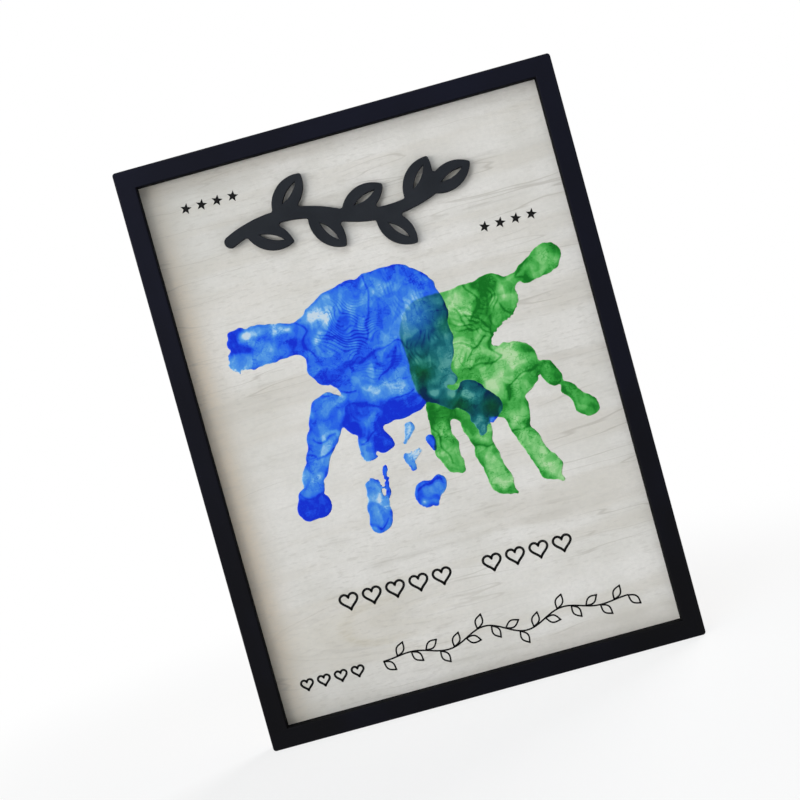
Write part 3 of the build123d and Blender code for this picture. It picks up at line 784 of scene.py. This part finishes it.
def hand_fields(points, hand):
    """Distance to the print's edge, negative inside, and how thick the paint lies, from 0 to 1."""
    seed = hand["seed"]
    edge = np.full(len(points), 1e3)
    load, weight, core = (np.zeros(len(points)) for _ in range(3))
    for pads, soft in ((hand["palm"], PALM_SOFTNESS), (hand["fingers"], FINGER_SOFTNESS)):
        for x0, up0, x1, up1, first_radius, last_radius, paint in pads:
            share, distance = along_line(points, (x0, up0), (x1, up1))
            radius = first_radius + share * (last_radius - first_radius)
            edge = join(distance - radius, edge, soft)
            depth = np.exp(np.clip(radius - distance, -6, 6) / PAD_BLEND)
            load += paint * depth
            weight += depth
            if pads is hand["fingers"]:
                core = np.maximum(core, fade(distance, 0.6 * radius))
    stray = np.column_stack((waves(points, 13.0, seed + 2), waves(points, 13.0, seed + 8)))
    edge = edge + 0.2 + 0.30 * waves(points, 11.0, seed) + 0.10 * waves(points, 4.0, seed + 1)
    for x, up, reach in hand["ragged"]:
        dry = fade(from_place(points, (x, up)), reach)
        edge = edge + dry * (0.35 * waves(points, 3.6, seed + 12) + 0.25 * waves(points, 2.0, seed + 13))

    crease = np.zeros(len(points))
    for line in hand["creases"]:
        for start, end in zip(line, line[1:]):
            crease = np.maximum(crease, fade(along_line(points + stray, start, end)[1], CREASE_WIDTH))
    rim = fade(np.minimum(edge, 0), RIM_WIDTH) * rise(waves(points, 16.0, seed + 9), -0.9, 1.1)
    press = load / weight - 0.10 * core + 0.30 * rim + 0.42 * crease
    for x, up, radius, more in hand["spots"]:
        press += more * fade(from_place(points + 1.5 * stray, (x, up)), radius)
    for size, step in ((17.0, 0.10), (8.0, 0.08)):
        press += step * np.tanh(6 * waves(points + stray, size, seed + int(size)))
    press += 0.05 * waves(points, 28.0, seed + 3) + 0.03 * waves(points, 6.0, seed + 4)
    return edge, np.clip(press, 0.0, 1.0)


middle_edge, middle_press = hand_fields(np.zeros((1, 2)), BLUE_HAND)
print("blue print at the panel's middle: edge", middle_edge.round(1), "mm, paint", middle_press.round(2))

# %% [markdown]
# The film is a grid of half-millimetre cells cut along the outline. Points near the edge move onto it, a
# cell with one corner outside becomes a triangle, and a skirt and an underside close the film. Its height
# is real: thick at the rim and in the creases, thin where a pad pressed. The blue film lies on the green
# one where they cross.

# %% Paint films
FILM_LEAST = 0.02
FILM_THICK = 0.20
FILM_SHOULDER = 0.9
FAINT_SHARE = 0.65
PANEL_MIDDLE = (0.0, FRAME_MIDDLE.z / MM)


def film_height(edge, press):
    """Millimetres of paint: nothing outside, a rounded shoulder at the edge."""
    shoulder = rise(-edge, 0.0, FILM_SHOULDER)
    return FILM_LEAST + (FILM_THICK - FILM_LEAST) * shoulder * (0.25 + 0.75 * press)


def paint_film(name, hand, under=None):
    """A closed mesh of one print, with what its shader needs as attributes."""
    low, high = (np.array(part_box(name)[end])[[0, 2]] / MM - PANEL_MIDDLE for end in (0, 1))
    columns, rows = (np.arange(low[axis] - 2, high[axis] + 2, GRID_STEP) for axis in (0, 1))
    across, up = np.meshgrid(columns, rows)
    points = np.column_stack((across.ravel(), up.ravel()))
    edge = hand_fields(points, hand)[0].reshape(across.shape)
    slope_up, slope_across = np.gradient(edge, GRID_STEP)
    steep = np.maximum(slope_across**2 + slope_up**2, 0.05)
    near = np.abs(edge) < 0.6 * GRID_STEP
    across = np.where(near, across - edge * slope_across / steep, across)
    up = np.where(near, up - edge * slope_up / steep, up)
    inside = (edge < 0) | near
    points = np.column_stack((across.ravel(), up.ravel()))

    index = np.arange(inside.size).reshape(inside.shape)
    corners = np.stack((index[:-1, :-1], index[:-1, 1:], index[1:, 1:], index[1:, :-1]), -1).reshape(-1, 4)
    kept = inside.ravel()[corners]
    faces = [tuple(cell) for cell in corners[kept.all(1)]]
    for cell, keep in zip(corners[kept.sum(1) == 3], kept[kept.sum(1) == 3]):
        faces.append(tuple(cell[keep]))
    used = np.unique(np.concatenate([np.array(face) for face in faces]))
    renumber = np.full(inside.size, -1)
    renumber[used] = np.arange(len(used))
    points = points[used]
    faces = [tuple(renumber[list(face)].tolist()) for face in faces]

    edge, press = hand_fields(points, hand)
    base = np.zeros(len(points))
    over, below = np.zeros(len(points)), np.zeros(len(points))
    if under:
        under_edge, under_press = hand_fields(points, under)
        *faint, faint_reach = under["faint"]
        faintness = FAINT_SHARE * fade(from_place(points, faint), faint_reach)
        over = rise(-under_edge, -0.2, 0.5) * (1 - faintness)
        for *strong, reach in under["strong"]:
            below = np.maximum(below, fade(from_place(points, strong), reach))
        base = film_height(under_edge, under_press) * rise(-under_edge, -0.5, 0.0) + 0.005 * over
    top = base + film_height(edge, press)

    count = len(points)
    sides = {}
    for face in faces:
        for start, end in zip(face, face[1:] + face[:1]):
            sides[(start, end)] = True
    skirt = [(b, a, a + count, b + count) for a, b in sides if (b, a) not in sides]
    under_faces = [tuple(v + count for v in reversed(face)) for face in faces]
    place = points + PANEL_MIDDLE
    front = np.column_stack((place[:, 0], PANEL_FACE / MM - top, place[:, 1]))
    back = np.column_stack((place[:, 0], PANEL_FACE / MM - base, place[:, 1]))
    mesh = bpy.data.meshes.new(name)
    mesh.from_pydata((np.vstack((front, back)) * MM).tolist(), [], faces + skirt + under_faces)
    mesh.polygons.foreach_set("use_smooth", np.arange(len(mesh.polygons)) < len(faces))

    bend = 1.2 * waves(points, 13.0, hand["seed"] + 6)
    lined, phase = np.zeros(len(points)), np.zeros(len(points))
    for x, ahead, reach, strength, ring_x, ring_up, pitch in hand["lines"]:
        shown = strength * fade(from_place(points, (x, ahead)), reach, power=4)
        turns = (from_place(points, (ring_x, ring_up)) + bend) / pitch
        phase = np.where(shown > lined, turns, phase)
        lined = np.maximum(lined, shown)
    lined = lined * rise(waves(points, 20.0, hand["seed"] + 7), -1.6, 0.0)
    fields = {"press": press, "edge": -edge, "over": over, "below": below, "skin_line": phase, "lined": lined}
    for field, values in fields.items():
        attribute = mesh.attributes.new(field, "FLOAT", "POINT")
        attribute.data.foreach_set("value", np.concatenate((values, values)))
    return mesh


green_film = paint_film("green_handprint", GREEN_HAND)
blue_film = paint_film("blue_handprint", BLUE_HAND, under=GREEN_HAND)

# %% [markdown]
# Poster paint is strong where it is thick and lets the pale board through where it is thin, so one ramp
# from thin to thick carries most of the colour. Fine skin lines come from a distance field too: a sine of
# it makes ridges that curve round the thumb. Small noise breaks up the ramp, as drying paint does, and
# the film thins out at its edge. Where blue lies on green, the ramp runs through teal and dark green
# instead.

# %% Paint finish
def paint_finish(name, stops, over_stops=None, below_stops=None):
    finish = Finish(name, Specular_IOR_Level=0.08)
    press = finish.attribute("press")
    edge = finish.attribute("edge")
    ridge = (finish.attribute("skin_line") * (2 * pi)).math("SINE")
    lined = finish.attribute("lined") * finish.noise((140, 140, 140)).smooth(0.30, 0.50)
    mottle = finish.noise((260, 260, 260), detail=5.0, roughness=0.65)
    grit = finish.noise((1100, 1100, 1100), detail=3.0, roughness=0.6) - 0.5
    streak = finish.noise((900, 900, 190), detail=3.0) - 0.5
    fold = (finish.noise((150, 150, 230), detail=3.0, roughness=0.6, shift=(3, 1, 2)) - 0.5).math("ABSOLUTE")
    fold = fold.smooth(0.0, 0.035, 1.0, 0.0) * finish.noise((70, 70, 70), shift=(5, 0, 5)).smooth(0.40, 0.62)
    thick = press + (ridge - 0.4).math("MAXIMUM", -0.6) * lined * 0.36
    thick = thick + mottle.smooth(0.36, 0.64, -0.05, 0.05) + streak * 0.18 + fold * 0.22 + grit * 0.22
    thick = thick + edge.smooth(0.0, 0.7, -0.24, 0.0)
    colour = thick.ramp(*stops)
    if over_stops:
        crossed = mix_colours(finish.attribute("below"), thick.ramp(*over_stops), thick.ramp(*below_stops))
        colour = mix_colours(finish.attribute("over"), colour, crossed)
    height = thick * 0.7 + ridge * lined * 0.3
    return finish.show(colour, 0.32 + mottle * 0.3, height, depth=0.12 * MM, strength=0.4)


BLUE_STOPS = (
    (0.00, srgb(194, 212, 226)),
    (0.09, srgb(150, 196, 232)),
    (0.25, srgb(86, 154, 224)),
    (0.50, srgb(52, 120, 224)),
    (0.75, srgb(30, 86, 228)),
    (1.00, srgb(14, 46, 206)),
)
TEAL_STOPS = (
    (0.05, srgb(80, 152, 152)),
    (0.30, srgb(36, 118, 126)),
    (0.55, srgb(13, 90, 102)),
    (0.80, srgb(4, 62, 84)),
    (1.00, srgb(0, 32, 76)),
)
DARK_GREEN_STOPS = (
    (0.05, srgb(96, 170, 140)),
    (0.30, srgb(48, 134, 112)),
    (0.55, srgb(14, 100, 78)),
    (0.80, srgb(6, 84, 52)),
    (1.00, srgb(3, 62, 42)),
)
GREEN_STOPS = (
    (0.00, srgb(178, 214, 164)),
    (0.25, srgb(126, 197, 121)),
    (0.50, srgb(78, 172, 82)),
    (0.75, srgb(42, 143, 52)),
    (1.00, srgb(14, 106, 30)),
)
GREEN_PAINT = paint_finish("green_poster_paint", GREEN_STOPS)
BLUE_PAINT = paint_finish("blue_poster_paint", BLUE_STOPS, TEAL_STOPS, DARK_GREEN_STOPS)
add_piece("green_paint_film", green_film, GREEN_PAINT, "green_handprint")
add_piece("blue_paint_film", blue_film, BLUE_PAINT, "blue_handprint")

# %% [markdown]
# ## Printing
# The small printing is black ink on the wash: rows of filled stars, rows of hearts in outline and a leafy
# vine. Each row repeats one drawn motif, which is what Geometry Nodes are for: a line of points, an
# instance of the motif on each, and sizes as named inputs. A heart or a leaf is a curve with a flat
# section swept along it, so it is a line of ink with a thickness. A star is a filled curve, raised by the
# same thickness and closed underneath.

# %% Ink
INK_LINE = 1.15 * MM
INK_FILM = 0.05 * MM


def ink_finish():
    finish = Finish("black_ink", Specular_IOR_Level=0.1)
    mottle = finish.noise((700, 700, 700), detail=3.0)
    fibre = finish.noise((90, 90, 2400), detail=2.0)
    colour = mix_colours(mottle * 0.6 + fibre * 0.4, srgb(7, 7, 8), srgb(24, 24, 24))
    return finish.show(colour, 0.55 + mottle * 0.2, fibre, depth=0.03 * MM, strength=0.25)


INK = ink_finish()
print(INK.name, "in lines", INK_LINE / MM, "mm wide")


# %% Trees for ink
def geometry_tree(name, counts, sizes):
    """An empty geometry tree with named inputs, and the wire of each."""
    tree = bpy.data.node_groups.new(name, "GeometryNodeTree")
    tree.interface.new_socket("Geometry", in_out="OUTPUT", socket_type="NodeSocketGeometry")
    for kind, labels in (("NodeSocketInt", counts), ("NodeSocketFloat", sizes)):
        for label in labels:
            tree.interface.new_socket(label, in_out="INPUT", socket_type=kind)
    entry = tree.nodes.new("NodeGroupInput")
    wires = {label: Signal(tree, entry.outputs[label]) for label in counts + sizes}
    return Signal(tree), wires


def ink_section(tree, wires):
    """The flat section of a line of ink."""
    return tree.make(
        "GeometryNodeCurvePrimitiveQuadrilateral", inputs={"Width": wires["Line"], "Height": wires["Film"]}
    )


def end_tree(tree, geometry):
    """Stands the drawing up on the panel's face, makes instances real and inks it."""
    drawn = tree.make("GeometryNodeTransform", inputs={"Geometry": geometry, "Rotation": (pi / 2, 0, 0)})
    real = tree.make("GeometryNodeRealizeInstances", inputs={0: drawn})
    inked = tree.make("GeometryNodeSetMaterial", inputs={0: real, "Material": INK})
    leave = tree.tree.nodes.new("NodeGroupOutput")
    tree.tree.links.new(inked.socket, leave.inputs[0])


# %% [markdown]
# A star is one of Blender's own curves. A heart and a leaf are circles whose points move to a new place,
# worked out from each point's angle.


# %% Stars and hearts
def star_motif(tree, wires):
    return tree.make(
        "GeometryNodeCurveStar",
        inputs={"Points": 5, "Inner Radius": wires["Size"] * 0.23, "Outer Radius": wires["Size"] * 0.54},
    )


def ring_of_points(tree, count, radius):
    """A closed curve to bend into a motif, and each point's angle on it."""
    ring = tree.make("GeometryNodeCurvePrimitiveCircle", inputs={"Resolution": count, "Radius": radius})
    return ring, tree.make("GeometryNodeInputIndex") * (2 * pi / count)


HEART_POINTS = 56


def heart_motif(tree, wires):
    """A circle whose points move to the well-known heart curve."""
    ring, angle = ring_of_points(tree, HEART_POINTS, wires["Size"])
    sine = angle.math("SINE")
    across = sine * sine * sine * 16.0
    up = angle.math("COSINE") * 13.0 - (angle * 2.0).math("COSINE") * 5.0
    up = up - (angle * 3.0).math("COSINE") * 2.0 - (angle * 4.0).math("COSINE")
    scale = wires["Size"] / 32.0
    place = tree.vector(across * scale, up * scale)
    return tree.make("GeometryNodeSetPosition", inputs={0: ring, "Position": place})


def outlined(tree, wires, motif):
    """The motif as a line of ink along its outline."""
    upright = tree.make("GeometryNodeSetCurveNormal", {"mode": "Z_UP"}, {0: motif})
    section = ink_section(tree, wires)
    return tree.make("GeometryNodeCurveToMesh", inputs={"Curve": upright, "Profile Curve": section})


def filled(tree, wires, motif):
    """The motif as a closed patch of ink, as thick as a line and half sunk as a line is."""
    flat = tree.make("GeometryNodeFillCurve", {"mode": "TRIANGLES"}, {0: motif})
    raised = tree.make(
        "GeometryNodeExtrudeMesh",
        {"mode": "FACES"},
        {0: flat, "Offset": (0.0, 0.0, 1.0), "Offset Scale": wires["Film"], "Individual": False},
    )
    shell = tree.make("GeometryNodeJoinGeometry", inputs={0: raised})
    tree.feed(shell.socket.node.inputs[0], tree.make("GeometryNodeFlipFaces", inputs={0: flat}))
    closed = tree.make("GeometryNodeMergeByDistance", inputs={0: shell, "Distance": 1e-6})
    sunk = tree.vector(z=wires["Film"] * -0.5)
    return tree.make("GeometryNodeTransform", inputs={"Geometry": closed, "Translation": sunk})


# %% Rows
def repeat(tree, points, motif, turn=(0.0, 0.0, 0.0)):
    """The motif on every point, turned by an angle that may differ from point to point."""
    return tree.make(
        "GeometryNodeInstanceOnPoints", inputs={"Points": points, "Instance": motif, "Rotation": turn}
    )


def row_tree(name, motif, drawn_as):
    """A row of one motif, drawn in ink and centred on the origin."""
    tree, wires = geometry_tree(name, ("Count",), ("Spacing", "Size", "Line", "Film"))
    mark = drawn_as(tree, wires, motif(tree, wires))
    step = tree.vector(x=wires["Spacing"])
    begin = tree.vector(x=wires["Spacing"] * (wires["Count"] - 1.0) * -0.5)
    points = tree.make(
        "GeometryNodeMeshLine", inputs={"Count": wires["Count"], "Start Location": begin, "Offset": step}
    )
    end_tree(tree, repeat(tree, points, mark))
    return tree.tree


star_row = row_tree("star_row", star_motif, filled)
heart_row = row_tree("heart_row", heart_motif, outlined)
for row in (star_row, heart_row):
    print("tree:", row.name, "with", len(row.nodes), "nodes")

# %% [markdown]
# The vine follows a path: a straight line whose points are lifted in a wave that calms down at both ends.
# Points spread evenly along it carry the leaves, each turned with the stem and then out to the left or
# right in turn.

# %% Vine
LEAF_TURN = radians(48)
LEAF_POINTS = 24
STEM_POINTS = 160


def leaf_motif(tree, wires):
    """A circle whose points move to a leaf that starts at the origin and points along X."""
    ring, angle = ring_of_points(tree, LEAF_POINTS, wires["Leaf"])
    sine = angle.math("SINE")
    ahead = (1.0 - angle.math("COSINE")) * wires["Leaf"] * 0.5
    place = tree.vector(ahead, sine * sine * sine * wires["Leaf"] * 0.24)
    moved = tree.make("GeometryNodeSetPosition", inputs={0: ring, "Position": place})
    return tree.make("GeometryNodeSetCurveNormal", {"mode": "Z_UP"}, {0: moved})


def vine_tree(name):
    """A waving stem with leaves on both sides, drawn in ink and centred on the origin."""
    tree, wires = geometry_tree(name, ("Leaves",), ("Length", "Swing", "Waves", "Leaf", "Line", "Film"))
    half = wires["Length"] * 0.5
    ends = [tree.vector(x=half * side) for side in (-1.0, 1.0)]
    line = tree.make("GeometryNodeCurvePrimitiveLine", inputs={"Start": ends[0], "End": ends[1]})
    fine = tree.make("GeometryNodeResampleCurve", inputs={"Curve": line, "Count": STEM_POINTS})
    share = tree.make("GeometryNodeSplineParameter")
    calm = (share * pi).math("SINE")
    swing = (share * wires["Waves"] * (2 * pi)).math("SINE") * calm * wires["Swing"]
    lift = tree.vector(y=swing)
    waved = tree.make("GeometryNodeSetPosition", inputs={0: fine, "Offset": lift})
    upright = tree.make("GeometryNodeSetCurveNormal", {"mode": "Z_UP"}, {0: waved})
    section = ink_section(tree, wires)
    stem = tree.make(
        "GeometryNodeCurveToMesh", inputs={"Curve": upright, "Profile Curve": section, "Fill Caps": True}
    )
    outline = leaf_motif(tree, wires)
    leaf = tree.make("GeometryNodeCurveToMesh", inputs={"Curve": outline, "Profile Curve": section})
    buds = tree.make("GeometryNodeCurveToPoints", {"mode": "COUNT"}, {0: upright, "Count": wires["Leaves"]})
    ahead = Signal(tree.tree, buds.socket.node.outputs["Tangent"])
    ahead_x, ahead_y = (tree.make("ShaderNodeSeparateXYZ", inputs={0: ahead}, output=axis) for axis in (0, 1))
    side = tree.make("GeometryNodeInputIndex").math("MODULO", 2.0) * 2.0 - 1.0
    turn = tree.vector(z=ahead_y.math("ARCTAN2", ahead_x) + side * LEAF_TURN)
    leaves = repeat(tree, buds, leaf, turn)
    drawn = tree.make("GeometryNodeJoinGeometry", inputs={0: stem})
    tree.feed(drawn.socket.node.inputs[0], leaves)
    end_tree(tree, drawn)
    return tree.tree


vine = vine_tree("leafy_vine")
print("tree:", vine.name, "with", len(vine.nodes), "nodes")

# %% [markdown]
# Each drawing is evaluated once, turned into a plain mesh and moved to its place on the panel, given from
# the left and top edges of the frame as one would measure it with a ruler.


# %% Printed rows
def print_on_panel(name, tree, from_left, from_top, **sizes):
    carrier = bpy.data.objects.new(name + "_carrier", bpy.data.meshes.new(name + "_carrier"))
    scene.collection.objects.link(carrier)
    modifier = carrier.modifiers.new("ink", "NODES")
    modifier.node_group = tree
    sizes = {"Line": INK_LINE, "Film": 2 * INK_FILM, **sizes}
    for item in tree.interface.items_tree:
        if item.in_out == "INPUT" and item.name in sizes:
            modifier[item.identifier] = sizes[item.name]
    bpy.context.view_layer.update()
    drawn = carrier.evaluated_get(bpy.context.evaluated_depsgraph_get())
    mesh = bpy.data.meshes.new_from_object(drawn)
    carrier.modifiers.clear()
    bpy.data.objects.remove(carrier)
    mesh.transform(Matrix.Translation((from_left * MM - HALF_WIDTH, PANEL_FACE, cad_high.z - from_top * MM)))
    add_piece(name, mesh, INK)


STAR = {"Count": 4, "Spacing": 8.2 * MM, "Size": 5.6 * MM}
LARGE_HEART = {"Spacing": 12.4 * MM, "Size": 9.2 * MM, "Line": 1.3 * MM}
SMALL_HEART = {"Count": 4, "Spacing": 9.0 * MM, "Size": 6.2 * MM}
VINE_STEM = {"Length": 130 * MM, "Swing": 4 * MM, "Waves": 3.0, "Line": 0.85 * MM}
VINE_LEAVES = {"Leaves": 19, "Leaf": 8 * MM}
print_on_panel("printed_stars_left", star_row, 43, 26, **STAR)
print_on_panel("printed_stars_right", star_row, 187, 75, **STAR)
print_on_panel("printed_hearts_left", heart_row, 82, 241, Count=5, **LARGE_HEART)
print_on_panel("printed_hearts_right", heart_row, 152, 241, Count=4, **LARGE_HEART)
print_on_panel("printed_hearts_low", heart_row, 38.5, 277, **SMALL_HEART)
print_on_panel("printed_vine", vine, 131, 276, **VINE_STEM, **VINE_LEAVES)

# %% [markdown]
# ## Floor, light and background
# The photograph is a cut-out on white, lit softly from the left: the left rail shades the panel beside
# it, and the sprig's shadow falls to its right. One long soft lamp at the left does that. A second one,
# high in front and a little cooler, lights what faces up, as a window does. A third one shows the back in
# other views, and a white world fills in. The floor is a plain disc that keeps the shadow near the
# object, and turns to plain white for the camera further out.

# %% World
AMBIENT = 0.16
world = bpy.data.worlds.new("white_room")
scene.world = world
world.use_nodes = True
sky = Signal(world.node_tree)
sky_light = world.node_tree.nodes["Background"]
seen = sky.make("ShaderNodeLightPath", output=0)
for sight in ("Is Glossy Ray", "Is Transmission Ray"):
    seen = seen.math("MAXIMUM", sky.make("ShaderNodeLightPath", output=sight))
sky_light.inputs["Color"].default_value = (1.0, 1.0, 1.0, 1.0)
sky.feed(sky_light.inputs["Strength"], AMBIENT + seen * (1.0 - AMBIENT))
print("world light", AMBIENT, "and white where it is seen")

# %% Lamps


def softbox(name, offset, width, height, share, colour):
    """A lamp that looks at the middle of the frame and gives a share of full light there."""
    lamp = bpy.data.lights.new(name, "AREA")
    lamp.shape = "RECTANGLE"
    lamp.size, lamp.size_y = width, height
    lamp.energy = pi * pi * Vector(offset).length_squared * share
    lamp.color = colour
    holder = bpy.data.objects.new(name, lamp)
    scene.collection.objects.link(holder)
    holder.location = FRAME_MIDDLE + Vector(offset)
    holder.rotation_euler = (-Vector(offset)).to_track_quat("-Z", "Y").to_euler()
    print(name, round(lamp.energy, 2), "W")


softbox("key_lamp", (-2.50, -1.80, 0.40), 2.50, 1.00, 0.70, (1.0, 0.985, 0.96))
softbox("sky_lamp", (-0.60, -2.50, 3.10), 2.20, 2.20, 0.395, (0.90, 0.95, 1.0))
softbox("back_lamp", (0.9, 1.2, 0.9), 0.9, 0.9, 0.75, (1.0, 1.0, 1.0))

# %% Floor
FLOOR_REACH = 3.0
FLOOR_GREY = (0.9, 0.9, 0.9, 1.0)
SHADOW_NEAR = 0.36
SHADOW_FAR = 0.55
WHITE_NEAR = 0.76
floor_mesh = bpy.data.meshes.new("floor")
floor_shape = bmesh.new()
bmesh.ops.create_circle(floor_shape, cap_ends=True, radius=FLOOR_REACH, segments=96)
floor_shape.to_mesh(floor_mesh)
floor_shape.free()
floor_mesh.transform(Matrix.Translation((0, 0, cad_low.z - 0.05 * MM)))
floor = bpy.data.objects.new("floor", floor_mesh)
scene.collection.objects.link(floor)
floor_finish = Finish("white_floor", Roughness=0.9, Specular_IOR_Level=0.0)
floor_finish.shader.inputs["Base Color"].default_value = FLOOR_GREY
floor_tree = floor_finish.tree
reach = floor_tree.make("ShaderNodeVectorMath", {"operation": "LENGTH"}, {0: floor_finish.place}, output=1)
camera_ray = floor_tree.make("ShaderNodeLightPath", output=0)
glossy_ray = floor_tree.make("ShaderNodeLightPath", output="Is Glossy Ray")
white = floor_tree.make("ShaderNodeEmission", inputs={"Color": (1, 1, 1, 1), "Strength": 1.0})
away = reach.smooth(SHADOW_NEAR, SHADOW_FAR, WHITE_NEAR, 1.0) * camera_ray.math("MAXIMUM", glossy_ray)
shown = floor_tree.make("ShaderNodeMixShader", inputs={0: away, 2: white})
floor_links = floor_finish.material.node_tree
floor_links.links.new(floor_finish.shader.outputs[0], shown.socket.node.inputs[1])
floor_links.links.new(shown.socket, floor_links.nodes["Material Output"].inputs["Surface"])
floor_mesh.materials.append(floor_finish.material)
print("floor at z =", round(cad_low.z, 4))
